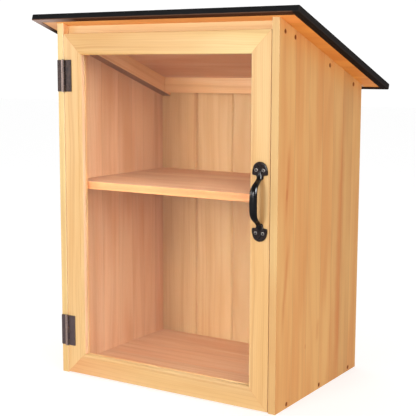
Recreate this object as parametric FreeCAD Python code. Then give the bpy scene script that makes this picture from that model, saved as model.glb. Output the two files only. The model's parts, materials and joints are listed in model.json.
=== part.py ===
import FreeCAD, Part
import math
import os

# Street book exchange box: a small pine cabinet with a lean-to roof, a glazed door and one shelf
# Millimetres. X runs left to right, the front faces -Y and +Z is up
# The origin is the centre of the base

V = FreeCAD.Vector

# Carcass
body_width = 400.0
body_depth = 286.0
front_height = 570.0
rear_height = 475.0
side_thickness = 12.0
floor_thickness = 12.0
shelf_thickness = 12.0
arris = 0.6

# Back of tongued and grooved boards
back_thickness = 9.5
back_board_count = 5
tongue_length = 4.0
tongue_thickness = 3.2
tongue_play = 0.3
vee_width = 3.0
vee_depth = 2.4

# Strips that carry the roof
cleat_thickness = 18.0
cleat_height = 26.0
header_thickness = 12.0
header_height = 27.0
rear_rail_height = 27.0

# Roof
roof_board_thickness = 8.0
roof_side_overhang = 37.0
roof_front_overhang = 17.5
roof_rear_overhang = 23.0
cover_thickness = 0.9
cover_return = 11.0
cover_fold_radius = 1.3

# Shelf on four pins
shelf_top = 318.5
shelf_setback = 6.0
shelf_side_play = 0.5
shelf_pin_radius = 2.5
shelf_pin_depth = 8.0
shelf_lug_radius = 3.6
shelf_lug_length = 9.0
shelf_lug_flat = 1.4
shelf_pin_inset = 38.0

# Door frame, pane and the beads that hold it
door_thickness = 12.0
door_member_width = 33.4
door_side_gap = 0.8
door_top_drop = 16.5
door_foot_gap = 1.5
door_stop_gap = 0.6
moulding_width = 5.6
moulding_step = 0.7
moulding_depth = 3.5
moulding_crown_depth = 1.3
moulding_crown_inset = 1.3
moulding_radius = 4.0
pane_thickness = 2.5
pane_play = 0.2
pane_edge_play = 1.0
pane_rebate_width = 6.0
bead_width = 11.0
bead_thickness = 3.5
bead_radius = 1.5
bead_pin_inset = 2.5
bead_pin_share = 0.3

# Surface hinges
hinge_length = 50.0
hinge_leaf_thickness = 1.5
hinge_pin_radius = 1.2
hinge_running_gap = 0.06
hinge_knuckle_gap = 0.35
hinge_knuckles = 5
hinge_frame_reach = 12.2
hinge_door_reach = 15.4
hinge_top_inset = 66.0
hinge_foot_inset = 70.5
hinge_corner_radius = 1.0
hinge_screw_inset = 8.0
hinge_screw_edge = 1.2
hinge_screw_root = 0.6
hinge_pin_head_height = 0.8
hinge_pin_head_radius = 2.0

# Cast bow handle
handle_centre_height = 311.0
handle_edge_inset = 15.4
handle_length = 115.0
handle_plate_thickness = 2.6
handle_plate_edge = 0.9
handle_screw_spread = 5.85
handle_screw_inset = 12.1

# Half of an end plate: half width, distance from the tip, corner radius
HANDLE_PLATE = [
    (8.5, 0.0, 11.0),
    (12.5, 13.5, 12.0),
    (12.3, 19.1, 1.8),
    (5.4, 19.9, 2.2),
    (5.2, 26.5, 3.5),
]

# Bow from the end plate to the middle: distance from the tip, rise, half width, half thickness
HANDLE_BOW = [
    (14.0, 2.2, 1.0, 0.7),
    (19.0, 2.7, 3.0, 1.5),
    (24.0, 4.0, 4.1, 2.3),
    (28.0, 7.6, 4.3, 2.7),
    (33.0, 14.2, 4.9, 3.0),
    (39.5, 18.7, 5.7, 3.4),
    (49.5, 20.2, 6.1, 3.6),
]

# Magnetic catch
catch_length = 38.0
catch_case_width = 11.0
catch_case_depth = 14.0
catch_pole_thickness = 1.2
catch_pole_height = 17.0
catch_pole_reach = 1.0
catch_magnet_thickness = 4.0
catch_gap = 0.35
catch_head_clearance = 45.0
catch_back_wall = 4.0
catch_front_radius = 1.5
catch_rear_radius = 3.0
strike_thickness = 1.2
strike_length = 26.0
strike_width = 11.0
strike_radius = 2.0
strike_edge_gap = 0.5

# Screws and pins
CARCASS_SCREW = {"head_radius": 3.8, "head_height": 2.6, "shank_radius": 1.6, "length": 34.0}
CLEAT_SCREW = {"head_radius": 3.8, "head_height": 2.6, "shank_radius": 1.6, "length": 26.0}
ROOF_SCREW = {"head_radius": 3.6, "head_height": 2.5, "shank_radius": 1.6, "length": 24.0}
BACK_SCREW = {"head_radius": 3.0, "head_height": 2.0, "shank_radius": 1.4, "length": 24.0}
HINGE_SCREW = {"head_radius": 2.5, "head_height": 1.4, "shank_radius": 1.1, "length": 10.0}
HANDLE_SCREW = {"head_radius": 2.5, "head_height": 1.6, "shank_radius": 1.2, "length": 12.0}
CATCH_SCREW = {"head_radius": 2.3, "head_height": 1.4, "shank_radius": 1.1, "length": 18.0}
STRIKE_SCREW = {"head_radius": 2.3, "head_height": 1.1, "shank_radius": 1.0, "length": 9.0}
BEAD_PIN = {"head_radius": 0.9, "head_height": 0.5, "shank_radius": 0.6, "length": 9.0}
carcass_screw_sink = 0.6
screw_clearance = 0.2
screw_tip = 3.0

# Where the screws sit
floor_screw_front = 23.5
floor_screw_rear = 20.0
header_screw_share = 0.4
header_screw_drop = 19.0
cleat_screw_front = 23.5
cleat_screw_middle = 140.0
cleat_screw_rear = 23.0
cleat_screw_share = 0.38
rear_rail_screw_share = 0.62
roof_screw_front = 55.0
roof_screw_rear = 45.0
roof_screw_share = 0.3

# Places worked out from the sizes above
front = -body_depth / 2.0
rear = body_depth / 2.0
inner_x = body_width / 2.0 - side_thickness
back_front = rear - back_thickness
door_back = front + door_thickness
stop_plane = door_back + door_stop_gap
header_rear = stop_plane + header_thickness
shelf_bottom = shelf_top - shelf_thickness
door_half_width = inner_x - door_side_gap
door_foot = door_foot_gap
door_head = front_height - door_top_drop
hinge_barrel_radius = hinge_pin_radius + hinge_leaf_thickness
hinge_x = -(inner_x - door_side_gap / 2.0)
hinge_y = front - hinge_barrel_radius
roof_slope = math.atan2(front_height - rear_height, body_depth)
cleat_drop = cleat_height / math.cos(roof_slope)
rail_front = back_front - cleat_thickness
pane_front = door_back - pane_thickness - pane_play
handle_x = door_half_width - handle_edge_inset


def roof_z(y):
    """Height of the roof board's underside at depth y."""
    return front_height - (y - front) * math.tan(roof_slope)


def box(x0, x1, y0, y1, z0, z1):
    return Part.makeBox(x1 - x0, y1 - y0, z1 - z0, V(x0, y0, z0))


def rounded_wire(corners):
    """Closed wire through corners given as (point, radius), with tangent arcs at the radii."""
    count = len(corners)
    edges = []
    starts = []
    for i, (point, radius) in enumerate(corners):
        before = (corners[i - 1][0] - point).normalize()
        after = (corners[(i + 1) % count][0] - point).normalize()
        if radius <= 0.0:
            starts.append((point, point, None))
            continue
        half = before.getAngle(after) / 2.0
        reach = radius / math.tan(half)
        toward = (before + after).normalize()
        middle = point + toward * (radius / math.sin(half) - radius)
        starts.append((point + before * reach, point + after * reach, middle))
    for i in range(count):
        enter, leave, middle = starts[i]
        if middle is not None:
            edges.append(Part.Arc(enter, middle, leave).toShape())
        following = starts[(i + 1) % count][0]
        if (following - leave).Length > 1e-6:
            edges.append(Part.LineSegment(leave, following).toShape())
    return Part.Wire(edges)


def prism(corners, direction):
    """Solid swept from a closed outline of (point, radius) corners."""
    return Part.Face(rounded_wire(corners)).extrude(direction)


def profile_x(points, x0, x1):
    """Prism along X from (y, z, corner radius) points."""
    corners = [(V(x0, y, z), r) for y, z, r in points]
    return prism(corners, V(x1 - x0, 0, 0))


def profile_z(points, z0, z1):
    """Prism along Z from (x, y, corner radius) points."""
    corners = [(V(x, y, z0), r) for x, y, r in points]
    return prism(corners, V(0, 0, z1 - z0))


def under_roof(shape):
    """The part of a shape that is under the sloping roof board."""
    y0, y1 = front - body_depth, rear + body_depth
    sky = front_height * 2.0
    above = [(y0, roof_z(y0), 0), (y1, roof_z(y1), 0), (y1, sky, 0), (y0, sky, 0)]
    return shape.cut(profile_x(above, -body_width, body_width))


def cut_all(shape, tools):
    return shape.cut(tools) if tools else shape


def turned(profile, place, direction):
    """Solid of revolution: (radius, depth) profile about an axis from place along direction."""
    points = [V(r, 0, d) for r, d in profile]
    edges = [Part.LineSegment(a, b).toShape() for a, b in zip(points, points[1:] + points[:1])]
    solid = Part.Face(Part.Wire(edges)).revolve(V(0, 0, 0), V(0, 0, 1), 360)
    solid.Placement = FreeCAD.Placement(place, FreeCAD.Rotation(V(0, 0, 1), direction))
    return solid


def screw(place, direction, size, sink=0.0):
    """Countersunk screw whose head is sunk below the surface at place."""
    end = sink + size["length"]
    neck = sink + size["head_height"]
    profile = [(0, sink), (size["head_radius"], sink), (size["shank_radius"], neck)]
    profile += [(size["shank_radius"], end - screw_tip), (0, end)]
    return turned(profile, place, direction)


def clearance_hole(place, direction, size, sink=0.0):
    """Cutter for the piece that a screw passes through: seat for its head, easy hole for its shank."""
    head, shank = size["head_radius"], size["shank_radius"]
    hole = shank + screw_clearance
    neck = sink + size["head_height"] * (head - hole) / (head - shank)
    profile = [(0, -1.0), (head, -1.0), (head, sink)]
    profile += [(hole, neck), (hole, sink + size["length"]), (0, sink + size["length"])]
    return turned(profile, place, direction)


class ScrewSet:
    """A set of like screws: their solids and the clearance holes for them."""

    def __init__(self, places, direction, size, sink=0.0):
        self.screws = [screw(p, direction, size, sink) for p in places]
        self.holes = [clearance_hole(p, direction, size, sink) for p in places]

    def solids(self):
        return Part.makeCompound(self.screws)


def mirrored(places):
    return [V(-p.x, p.y, p.z) for p in places]


# Screws in the side panels
def floor_screw_places():
    y_front, y_rear = stop_plane + floor_screw_front, back_front - floor_screw_rear
    z = floor_thickness / 2.0
    stations = [y_front, (y_front + y_rear) / 2.0, y_rear]
    return [V(body_width / 2.0, y, z) for y in stations]


def header_screw_places():
    y = stop_plane + header_thickness * header_screw_share
    return [V(body_width / 2.0, y, front_height - header_screw_drop)]


def cleat_screw_places():
    first, last = header_rear + cleat_screw_front, back_front - cleat_screw_rear
    stations = [first, header_rear + cleat_screw_middle, last]
    drop = cleat_drop * cleat_screw_share
    return [V(body_width / 2.0, y, roof_z(y) - drop) for y in stations]


def side_screws():
    """Screws through the right and left panels, keyed by side and by what they hold."""
    groups = {
        "floor": (floor_screw_places(), CARCASS_SCREW),
        "header": (header_screw_places(), CARCASS_SCREW),
        "cleat": (cleat_screw_places(), CLEAT_SCREW),
    }
    sets = {}
    for name, (places, size) in groups.items():
        sets["right", name] = ScrewSet(places, V(-1, 0, 0), size, carcass_screw_sink)
        sets["left", name] = ScrewSet(mirrored(places), V(1, 0, 0), size, carcass_screw_sink)
    return sets


# Shelf pins
def shelf_pin_places():
    y_front = stop_plane + shelf_setback + shelf_pin_inset
    y_rear = back_front - shelf_pin_inset
    z = shelf_bottom - shelf_lug_flat
    return [V(inner_x, y, z) for y in (y_front, y_rear)]


def shelf_pin(place, side):
    """Pin with a stub in the panel and a flat-topped lug under the shelf."""
    stub = Part.makeCylinder(shelf_pin_radius, shelf_pin_depth, place, V(side, 0, 0))
    lug = Part.makeCylinder(shelf_lug_radius, shelf_lug_length, place, V(-side, 0, 0))
    wide = shelf_lug_length + 1.0
    above = box(place.x - wide, place.x + wide, place.y - wide, place.y + wide, shelf_bottom, shelf_top)
    return stub.fuse(lug.cut(above))


def shelf_pin_holes(side):
    holes = []
    for place in shelf_pin_places():
        start = V(side * place.x, place.y, place.z)
        holes.append(Part.makeCylinder(shelf_pin_radius, shelf_pin_depth, start, V(side, 0, 0)))
    return holes


def shelf_pins():
    pins = [shelf_pin(p, 1) for p in shelf_pin_places()]
    pins += [shelf_pin(p, -1) for p in mirrored(shelf_pin_places())]
    return Part.makeCompound(pins)


# Carcass boards
def side_panel(side, sets, extra_holes):
    """Edge-glued side panel with eased edges, cut to the slope of the roof."""
    outer, inner = side * body_width / 2.0, side * inner_x
    plan = [(outer, front, arris), (outer, rear, arris), (inner, rear, 0), (inner, front, arris)]
    panel = under_roof(profile_z(plan, 0, front_height))
    name = "right" if side > 0 else "left"
    holes = []
    for part in ("floor", "header", "cleat"):
        holes += sets[name, part].holes
    return cut_all(panel, holes + shelf_pin_holes(side) + extra_holes)


def floor_panel(sets, back_screws):
    y0, y1 = stop_plane, back_front
    section = [(y0, 0, 0), (y1, 0, 0), (y1, floor_thickness, 0), (y0, floor_thickness, arris)]
    panel = profile_x(section, -inner_x, inner_x)
    screws = sets["left", "floor"].screws + sets["right", "floor"].screws + back_screws
    return cut_all(panel, screws)


def shelf():
    y0, y1 = stop_plane + shelf_setback, back_front
    section = [(y0, shelf_bottom, arris), (y1, shelf_bottom, 0), (y1, shelf_top, 0), (y0, shelf_top, arris)]
    half = inner_x - shelf_side_play
    return profile_x(section, -half, half)


def header_rail(sets, roof_screws):
    """Strip behind the head of the door, planed to the slope of the roof."""
    foot = roof_z(stop_plane) - header_height
    sky = front_height
    section = [(stop_plane, foot, arris), (header_rear, foot, 0), (header_rear, sky, 0), (stop_plane, sky, 0)]
    rail = under_roof(profile_x(section, -inner_x, inner_x))
    return cut_all(rail, sets["left", "header"].screws + sets["right", "header"].screws + roof_screws)


def roof_cleat(side, sets, roof_screws):
    """Strip along the head of a side panel, parallel to the roof."""
    y0, y1 = header_rear, back_front
    z0, z1 = roof_z(y0), roof_z(y1)
    section = [(y0, z0 - cleat_drop, 0), (y1, z1 - cleat_drop, 0), (y1, z1, 0), (y0, z0, 0)]
    x0, x1 = sorted((side * inner_x, side * (inner_x - cleat_thickness)))
    name = "right" if side > 0 else "left"
    return cut_all(profile_x(section, x0, x1), sets[name, "cleat"].screws + roof_screws)


def rear_rail(roof_screws, back_screws):
    foot = roof_z(rail_front) - rear_rail_height
    sky = front_height
    section = [(rail_front, foot, arris), (back_front, foot, 0), (back_front, sky, 0), (rail_front, sky, 0)]
    half = inner_x - cleat_thickness
    return cut_all(under_roof(profile_x(section, -half, half)), roof_screws + back_screws)


# Back boards
board_pitch = 2.0 * inner_x / back_board_count


def back_board(index, holes):
    """Vertical board: groove on the left edge, tongue on the right edge, veed joint on the inside."""
    x0 = -inner_x + index * board_pitch
    x1 = x0 + board_pitch
    y_mid = (back_front + rear) / 2.0
    first, last = index == 0, index == back_board_count - 1
    plan = []
    if first:
        plan += [(x0, rear), (x0, back_front)]
    else:
        g0, g1 = y_mid - tongue_thickness / 2.0, y_mid + tongue_thickness / 2.0
        depth = tongue_length + tongue_play
        plan += [(x0, rear), (x0, g1), (x0 + depth, g1), (x0 + depth, g0), (x0, g0)]
        plan += [(x0, back_front + vee_depth), (x0 + vee_width, back_front)]
    if last:
        plan += [(x1, back_front), (x1, rear)]
    else:
        t0, t1 = y_mid - tongue_thickness / 2.0, y_mid + tongue_thickness / 2.0
        plan += [(x1 - vee_width, back_front), (x1, back_front + vee_depth), (x1, t0)]
        plan += [(x1 + tongue_length, t0), (x1 + tongue_length, t1), (x1, t1), (x1, rear)]
    board = profile_z([(x, y, 0) for x, y in plan], 0, front_height)
    return cut_all(under_roof(board), holes)


def back_screw_places():
    """One screw at the head and one at the foot of each back board."""
    heads, feet = [], []
    rail_z = roof_z(rail_front) - rear_rail_height * rear_rail_screw_share
    for i in range(back_board_count):
        x = -inner_x + (i + 0.5) * board_pitch
        heads.append(V(x, rear, rail_z))
        feet.append(V(x, rear, floor_thickness / 2.0))
    return heads, feet


# Roof
def on_roof(shape):
    """Lay a shape drawn flat, with the board's lower front edge on X, at its place on the slope."""
    y = front - roof_front_overhang
    tilt = FreeCAD.Rotation(V(1, 0, 0), -math.degrees(roof_slope))
    shape.Placement = FreeCAD.Placement(V(0, y, roof_z(y)), tilt)
    return shape


roof_length = (body_depth + roof_front_overhang + roof_rear_overhang) / math.cos(roof_slope)
roof_half_width = body_width / 2.0 + roof_side_overhang


def roof_board(holes):
    board = box(-roof_half_width, roof_half_width, 0, roof_length, 0, roof_board_thickness)
    return cut_all(on_roof(board), holes)


def roof_cover():
    """Sheet folded down over all four edges of the board and turned in underneath."""
    c = cover_thickness
    whole = box(-roof_half_width - c, roof_half_width + c, -c, roof_length + c, -c, roof_board_thickness + c)
    whole = whole.makeFillet(cover_fold_radius, whole.Edges)
    whole = whole.cut(box(-roof_half_width, roof_half_width, 0, roof_length, 0, roof_board_thickness))
    x, y0, y1 = roof_half_width - cover_return, cover_return, roof_length - cover_return
    return on_roof(whole.cut(box(-x, x, y0, y1, -2.0 * c, roof_board_thickness / 2.0)))


def roof_screws():
    """Screws down through the roof board, keyed by the strip that they go into."""
    normal = V(0, math.sin(roof_slope), math.cos(roof_slope))
    centring = normal.y * (ROOF_SCREW["length"] - roof_board_thickness) / 2.0
    cleat_x = inner_x - cleat_thickness / 2.0
    rail_x = body_width * roof_screw_share
    stations = {
        "right": [(cleat_x, y) for y in roof_cleat_stations()],
        "left": [(-cleat_x, y) for y in roof_cleat_stations()],
        "header": [(x, (stop_plane + header_rear) / 2.0 + centring) for x in (-rail_x, rail_x)],
        "rear": [(x, (rail_front + back_front) / 2.0 + centring) for x in (-rail_x, rail_x)],
    }
    sets = {}
    for strip, spots in stations.items():
        places = [V(x, y, roof_z(y)) + normal * roof_board_thickness for x, y in spots]
        sets[strip] = ScrewSet(places, normal * -1.0, ROOF_SCREW)
    return sets


def roof_cleat_stations():
    first, last = header_rear + roof_screw_front, back_front - roof_screw_rear
    return [first, (first + last) / 2.0, last]


# Door
def member_section():
    """Frame member as a bottom rail, outer edge on z = 0: moulded in front, rebated behind for the pane."""
    w, t = door_member_width, door_thickness
    seat, rebate = w - pane_rebate_width, pane_front - front
    return [
        (0, 0, arris), (t, 0, 0), (t, seat, 0), (rebate, seat, 0), (rebate, w, 0), (moulding_depth, w, 0),
        (moulding_crown_depth, w - moulding_crown_inset, moulding_radius),
        (moulding_step, w - moulding_width, 0), (0, w - moulding_width, 0),
    ]


def bead_section():
    """Bead behind the frame member, flush with the edge of the opening."""
    y0, y1 = door_thickness, door_thickness + bead_thickness
    z0, z1 = door_member_width - bead_width, door_member_width
    return [(y0, z0, 0), (y1, z0, bead_radius), (y1, z1, bead_radius), (y0, z1, 0)]


def mitred_bar(section, length):
    """Bar along X with this section, its ends cut on the mitre lines of the frame."""
    half, w = length / 2.0, door_member_width
    ends = [(-half, 0), (half, 0), (half - w, w), (-half + w, w)]
    mitre = prism([(V(x, 0, z), 0) for x, z in ends], V(0, door_thickness + bead_thickness, 0))
    return profile_x(section, -half, half).common(mitre)


def bead_pin_places(length):
    y, z = door_thickness + bead_thickness, door_member_width - bead_width + bead_pin_inset
    return [V(side * length * bead_pin_share, y, z) for side in (-1, 1)]


def door_sides():
    """Each side of the frame: turn about the door's middle, length and distance from the middle."""
    width, height = 2.0 * door_half_width, door_head - door_foot
    return {
        "bottom": (0, width, height / 2.0),
        "top": (180, width, height / 2.0),
        "left": (90, height, width / 2.0),
        "right": (270, height, width / 2.0),
    }


def on_door(shape, turn, across):
    """Move a shape drawn as a bottom rail to its side of the door."""
    shape = shape.copy()
    shape.translate(V(0, 0, -across))
    shape.rotate(V(0, 0, 0), V(0, 1, 0), turn)
    shape.translate(V(0, front, (door_head + door_foot) / 2.0))
    return shape


def door_pane():
    """Clear sheet standing in the rebate of the bottom rail, with play at the sides and top."""
    half = door_half_width - door_member_width + pane_rebate_width - pane_edge_play
    z0 = door_foot + door_member_width - pane_rebate_width
    z1 = door_head - door_member_width + pane_rebate_width - pane_edge_play
    return box(-half, half, pane_front, pane_front + pane_thickness, z0, z1)


# Hinges
def hinge_centres():
    return {"upper": door_head - hinge_top_inset, "lower": door_foot + hinge_foot_inset}


def knuckle_spans(z):
    """Heights of the knuckles from the bottom up, with a small gap between neighbours."""
    pitch = hinge_length / hinge_knuckles
    z0 = z - hinge_length / 2.0
    spans = []
    for i in range(hinge_knuckles):
        low = z0 + i * pitch + (hinge_knuckle_gap / 2.0 if i else 0.0)
        high = z0 + (i + 1) * pitch - (hinge_knuckle_gap / 2.0 if i < hinge_knuckles - 1 else 0.0)
        spans.append((low, high))
    return spans


def hinge_leaf(z, side, reach, own_first, bore):
    """Leaf with rolled knuckles: side is -1 for the panel's leaf and 1 for the door's."""
    z0, z1 = z - hinge_length / 2.0, z + hinge_length / 2.0
    edge = hinge_x + side * reach
    root = hinge_x + side * (hinge_barrel_radius + hinge_knuckle_gap)
    r = hinge_corner_radius
    face_y = front - hinge_leaf_thickness
    outline = [(root, z0, 0), (edge, z0, r), (edge, z1, r), (root, z1, 0)]
    leaf = prism([(V(x, face_y, h), radius) for x, h, radius in outline], V(0, hinge_leaf_thickness, 0))
    for i, (low, high) in enumerate(knuckle_spans(z)):
        if (i % 2 == 0) != own_first:
            continue
        x0, x1 = sorted((hinge_x, root))
        leaf = leaf.fuse(box(x0, x1, face_y, front, low, high))
        barrel = Part.makeCylinder(hinge_barrel_radius, high - low, V(hinge_x, hinge_y, low))
        leaf = leaf.fuse(barrel)
    leaf = leaf.removeSplitter()
    return leaf.cut(Part.makeCylinder(bore, hinge_length + 2.0, V(hinge_x, hinge_y, z0 - 1.0)))


def hinge_screw_places(z, side, reach):
    """Three staggered screws: two near the ends on the outer line, one at the middle on the inner line."""
    head = HINGE_SCREW["head_radius"]
    low, high = hinge_barrel_radius + head + hinge_screw_root, reach - head - hinge_screw_edge
    spread = hinge_length / 2.0 - hinge_screw_inset
    y = front - hinge_leaf_thickness
    places = [V(hinge_x + side * high, y, z - spread), V(hinge_x + side * high, y, z + spread)]
    return places + [V(hinge_x + side * low, y, z)]


def hinge_pin(z):
    """Pin with a low button head at each end of the barrel."""
    z0 = z - hinge_length / 2.0
    r, head, tall = hinge_pin_radius, hinge_pin_head_radius, hinge_pin_head_height
    profile = [(0, -tall), (head * 0.6, -tall), (head, -tall * 0.35), (head, 0), (r, 0)]
    profile += [(r, hinge_length), (head, hinge_length), (head, hinge_length + tall * 0.35)]
    profile += [(head * 0.6, hinge_length + tall), (0, hinge_length + tall)]
    return turned(profile, V(hinge_x, hinge_y, z0), V(0, 0, 1))


# Cast bow handle
handle_tip = handle_length / 2.0


def handle_plate(end):
    """End plate with a domed head, two lobes and a neck that runs under the foot of the bow."""
    half = [(x, handle_tip - drop, radius) for x, drop, radius in HANDLE_PLATE]
    half += [(-x, z, radius) for x, z, radius in reversed(half)]
    outline = [(V(handle_x + x, front, handle_centre_height + end * z), radius) for x, z, radius in half]
    plate = prism(outline, V(0, -handle_plate_thickness, 0))
    rim = [e for e in plate.Edges if e.BoundBox.YMax < front - handle_plate_thickness / 2.0]
    return plate.makeFillet(handle_plate_edge, rim)


def frame_rotation(long_axis, normal):
    """Rotation that takes X to the long axis and Z to the normal."""
    side = normal.cross(long_axis)
    matrix = FreeCAD.Matrix(long_axis.x, side.x, normal.x, 0, long_axis.y, side.y, normal.y, 0,
                            long_axis.z, side.z, normal.z, 0, 0, 0, 0, 1)
    return FreeCAD.Placement(matrix).Rotation


def bow_sections():
    """Elliptical sections of the bow, each square to its path, from the upper plate to the lower one."""
    upper = [(handle_tip - drop, rise, a, b) for drop, rise, a, b in HANDLE_BOW]
    stations = upper + [(-z, rise, a, b) for z, rise, a, b in reversed(upper)]
    path = [V(handle_x, front - rise, handle_centre_height + z) for z, rise, a, b in stations]
    sections = []
    for i, (z, rise, half_width, half_thickness) in enumerate(stations):
        tangent = (path[min(i + 1, len(path) - 1)] - path[max(i - 1, 0)]).normalize()
        wire = Part.Wire([Part.Ellipse(V(0, 0, 0), half_width, half_thickness).toShape()])
        wire.Placement = FreeCAD.Placement(path[i], frame_rotation(V(1, 0, 0), tangent))
        sections.append(wire)
    return sections


def door_handle(holes):
    bow = Part.makeLoft(bow_sections(), True, False)
    whole = bow.fuse([handle_plate(1), handle_plate(-1)])
    x, z, reach = handle_x, handle_centre_height, handle_length
    behind = box(x - reach, x + reach, front, front + reach, z - reach, z + reach)
    return cut_all(whole.cut(behind).removeSplitter(), holes)


def handle_screw_places():
    places = []
    for end in (-1, 1):
        for side in (-1, 1):
            x = handle_x + side * handle_screw_spread
            z = handle_centre_height + end * (handle_tip - handle_screw_inset)
            places.append(V(x, front - handle_plate_thickness, z))
    return places


# Magnetic catch on the right panel, under the header
catch_front = door_back + strike_thickness + catch_gap
catch_case_front = catch_front + catch_pole_reach
catch_slot_rear = catch_case_front + catch_case_depth - catch_back_wall
catch_x = inner_x - catch_case_width / 2.0
catch_z = roof_z(header_rear) - cleat_drop - catch_head_clearance - catch_length / 2.0


def catch_screw_places():
    y = catch_case_front + catch_case_depth / 2.0
    spread = (catch_length + catch_pole_height) / 4.0
    return [V(inner_x - catch_case_width, y, catch_z + end * spread) for end in (-1, 1)]


def catch_case(holes):
    """Plastic case with a slot for the magnet and its two pole plates."""
    y0, y1 = catch_case_front, catch_case_front + catch_case_depth
    z0, z1 = catch_z - catch_length / 2.0, catch_z + catch_length / 2.0
    near, far = catch_front_radius, catch_rear_radius
    section = [(y0, z0, near), (y1, z0, far), (y1, z1, far), (y0, z1, near)]
    case = profile_x(section, inner_x - catch_case_width, inner_x)
    half, tall = catch_magnet_thickness / 2.0 + catch_pole_thickness, catch_pole_height / 2.0
    slot = box(catch_x - half, catch_x + half, catch_front, catch_slot_rear, catch_z - tall, catch_z + tall)
    return cut_all(case, [slot] + holes)


def catch_poles():
    tall = catch_pole_height / 2.0
    plates = []
    for side in (-1, 1):
        near = catch_x + side * catch_magnet_thickness / 2.0
        x0, x1 = sorted((near, near + side * catch_pole_thickness))
        plates.append(box(x0, x1, catch_front, catch_slot_rear, catch_z - tall, catch_z + tall))
    return Part.makeCompound(plates)


def catch_magnet():
    half, tall = catch_magnet_thickness / 2.0, catch_pole_height / 2.0
    x0, x1 = catch_x - half, catch_x + half
    return box(x0, x1, catch_case_front, catch_slot_rear, catch_z - tall, catch_z + tall)


def strike_plate(holes):
    """Small steel plate on the back of the right stile, held by one screw."""
    x0 = catch_x - strike_width / 2.0
    x1 = min(catch_x + strike_width / 2.0, door_half_width - strike_edge_gap)
    z0, z1 = catch_z - strike_length / 2.0, catch_z + strike_length / 2.0
    corners = [V(x0, door_back, z0), V(x1, door_back, z0), V(x1, door_back, z1), V(x0, door_back, z1)]
    return cut_all(prism([(c, strike_radius) for c in corners], V(0, strike_thickness, 0)), holes)


def add_hinges(nodes):
    """Add both hinges, and return the screws of their frame leaves and of their door leaves."""
    frame_screws, door_screws = [], []
    for name, z in hinge_centres().items():
        in_frame = ScrewSet(hinge_screw_places(z, -1, hinge_frame_reach), V(0, 1, 0), HINGE_SCREW)
        in_door = ScrewSet(hinge_screw_places(z, 1, hinge_door_reach), V(0, 1, 0), HINGE_SCREW)
        frame_screws += in_frame.screws
        door_screws += in_door.screws
        leaf = hinge_leaf(z, -1, hinge_frame_reach, True, hinge_pin_radius)
        nodes[name + "_hinge_frame_leaf"] = cut_all(leaf, in_frame.holes)
        leaf = hinge_leaf(z, 1, hinge_door_reach, False, hinge_pin_radius + hinge_running_gap)
        nodes[name + "_hinge_door_leaf"] = cut_all(leaf, in_door.holes)
        nodes[name + "_hinge_pin"] = hinge_pin(z)
    return frame_screws, door_screws


def add_door_frame(nodes, screws_in):
    """Add the four frame members with the beads behind them; screws_in holds the screws in each member."""
    pins = []
    for side, (turn, length, across) in door_sides().items():
        own = ScrewSet(bead_pin_places(length), V(0, -1, 0), BEAD_PIN)
        member = on_door(cut_all(mitred_bar(member_section(), length), own.screws), turn, across)
        bead = on_door(cut_all(mitred_bar(bead_section(), length), own.holes), turn, across)
        name = "door_%s_%s" % (side, "rail" if turn % 180 == 0 else "stile")
        nodes[name] = cut_all(member, screws_in.get(side, []))
        nodes[side + "_glazing_bead"] = bead
        pins += [on_door(pin, turn, across) for pin in own.screws]
    nodes["bead_pins"] = Part.makeCompound(pins)


def build():
    nodes = {}
    sides = side_screws()
    roof = roof_screws()
    heads, feet = back_screw_places()
    head_set = ScrewSet(heads, V(0, -1, 0), BACK_SCREW)
    foot_set = ScrewSet(feet, V(0, -1, 0), BACK_SCREW)
    catch_set = ScrewSet(catch_screw_places(), V(1, 0, 0), CATCH_SCREW)
    strike_set = ScrewSet([V(catch_x, door_back + strike_thickness, catch_z)], V(0, -1, 0), STRIKE_SCREW)
    handle_set = ScrewSet(handle_screw_places(), V(0, 1, 0), HANDLE_SCREW)
    frame_hinge, door_hinge = add_hinges(nodes)

    nodes["left_side_panel"] = side_panel(-1, sides, frame_hinge)
    nodes["right_side_panel"] = side_panel(1, sides, catch_set.screws)
    nodes["floor_panel"] = floor_panel(sides, foot_set.screws)
    for i in range(back_board_count):
        nodes["back_board_%d" % (i + 1)] = back_board(i, [head_set.holes[i], foot_set.holes[i]])
    nodes["rear_rail"] = rear_rail(roof["rear"].screws, head_set.screws)
    nodes["header_rail"] = header_rail(sides, roof["header"].screws)
    nodes["left_roof_cleat"] = roof_cleat(-1, sides, roof["left"].screws)
    nodes["right_roof_cleat"] = roof_cleat(1, sides, roof["right"].screws)
    nodes["roof_board"] = roof_board([hole for strip in roof.values() for hole in strip.holes])
    nodes["roof_cover"] = roof_cover()
    nodes["shelf"] = shelf()
    nodes["shelf_pins"] = shelf_pins()

    add_door_frame(nodes, {"left": door_hinge, "right": handle_set.screws + strike_set.screws})
    nodes["door_pane"] = door_pane()
    nodes["door_handle"] = door_handle(handle_set.holes)
    nodes["catch_case"] = catch_case(catch_set.holes)
    nodes["catch_magnet"] = catch_magnet()
    nodes["catch_pole_plates"] = catch_poles()
    nodes["catch_strike_plate"] = strike_plate(strike_set.holes)

    for part in ("floor", "header", "cleat"):
        nodes[part + "_screws"] = Part.makeCompound(sides["left", part].screws + sides["right", part].screws)
    nodes["roof_screws"] = Part.makeCompound([s for strip in roof.values() for s in strip.screws])
    nodes["back_board_screws"] = Part.makeCompound(head_set.screws + foot_set.screws)
    nodes["hinge_frame_screws"] = Part.makeCompound(frame_hinge)
    nodes["hinge_door_screws"] = Part.makeCompound(door_hinge)
    nodes["handle_screws"] = handle_set.solids()
    nodes["catch_screws"] = catch_set.solids()
    nodes["strike_screw"] = strike_set.solids()
    return nodes


def main():
    os.makedirs("parts", exist_ok=True)
    for name, shape in build().items():
        shape.exportStep("parts/%s.step" % name)
        print("%-24s solids %2d  valid %s" % (name, len(shape.Solids), shape.isValid()))


main()
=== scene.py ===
import json
import math

import bmesh
import bpy
import numpy
from mathutils import Matrix, Vector


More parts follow.
